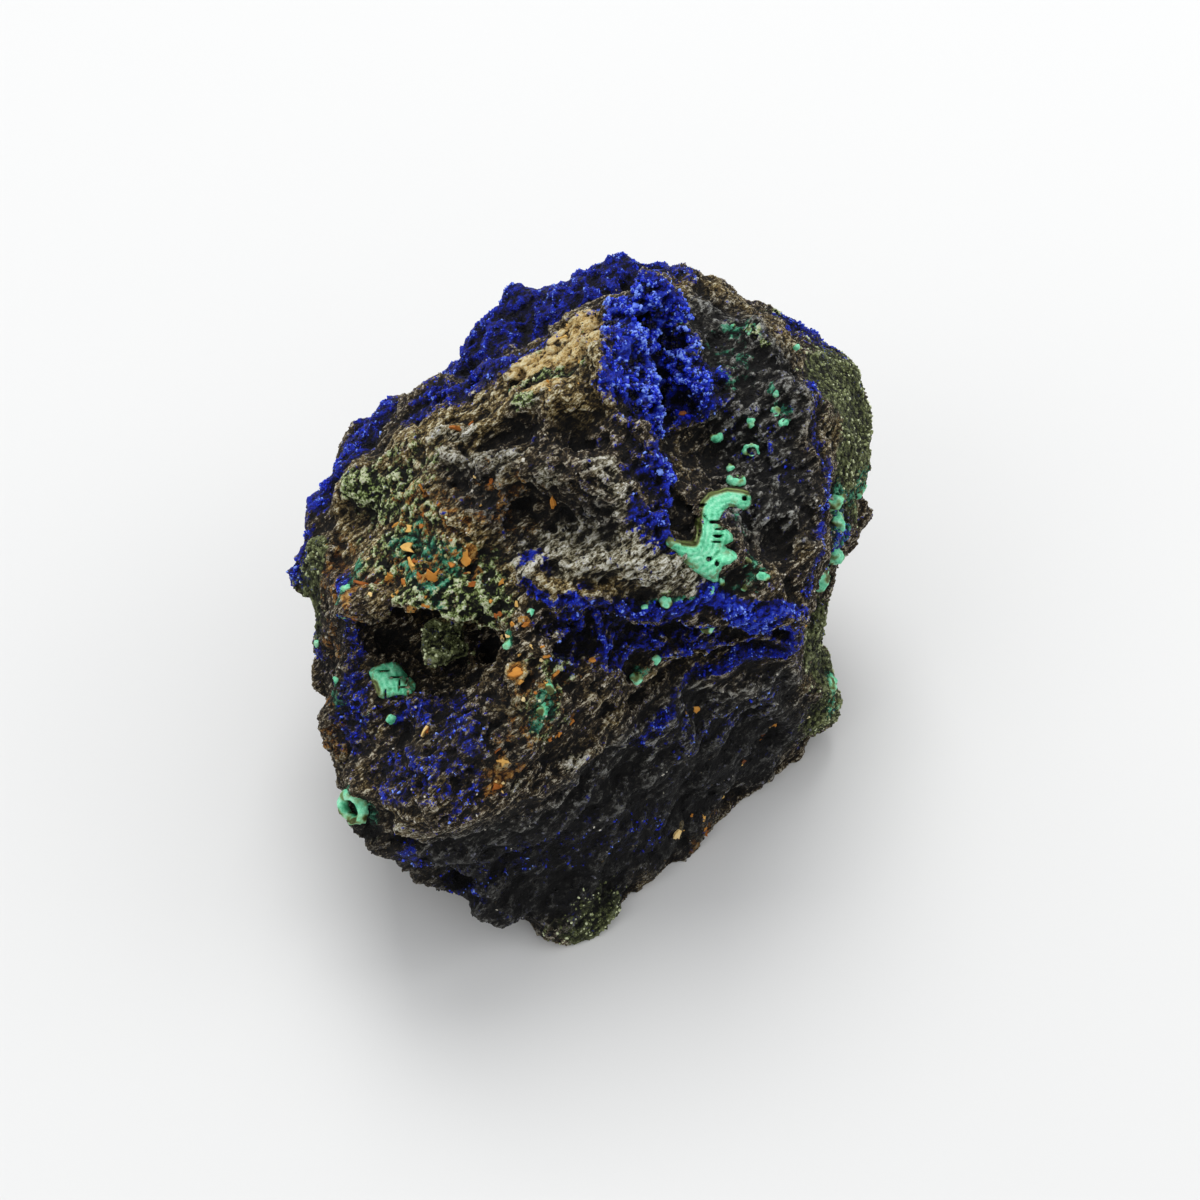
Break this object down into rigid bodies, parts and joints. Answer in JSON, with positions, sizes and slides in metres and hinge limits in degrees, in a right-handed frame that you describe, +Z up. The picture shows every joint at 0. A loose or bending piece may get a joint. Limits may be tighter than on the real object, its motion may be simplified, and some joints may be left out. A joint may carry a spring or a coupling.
{
  "type": "azurite specimen",
  "caption": "Hand-sized rough lump of brown iron-stained rock crusted with blue azurite and green malachite, standing on a flat broken foot.",
  "frame": {"origin": "on the flat foot that the stone stands on, under the middle of its bounding box", "axes": "+Z up; -Y is the front, with the deep undercut face; +X is the side with the olive breaks"},
  "size_m": [0.0994, 0.102, 0.0864],
  "materials": {
    "rock_matrix": "matte",
    "azurite": "satin",
    "malachite": "satin",
    "limonite": "matte"
  },
  "bodies": {
    "root": {"azurite_specimen": "rock_matrix"}
  },
  "joints": []
}
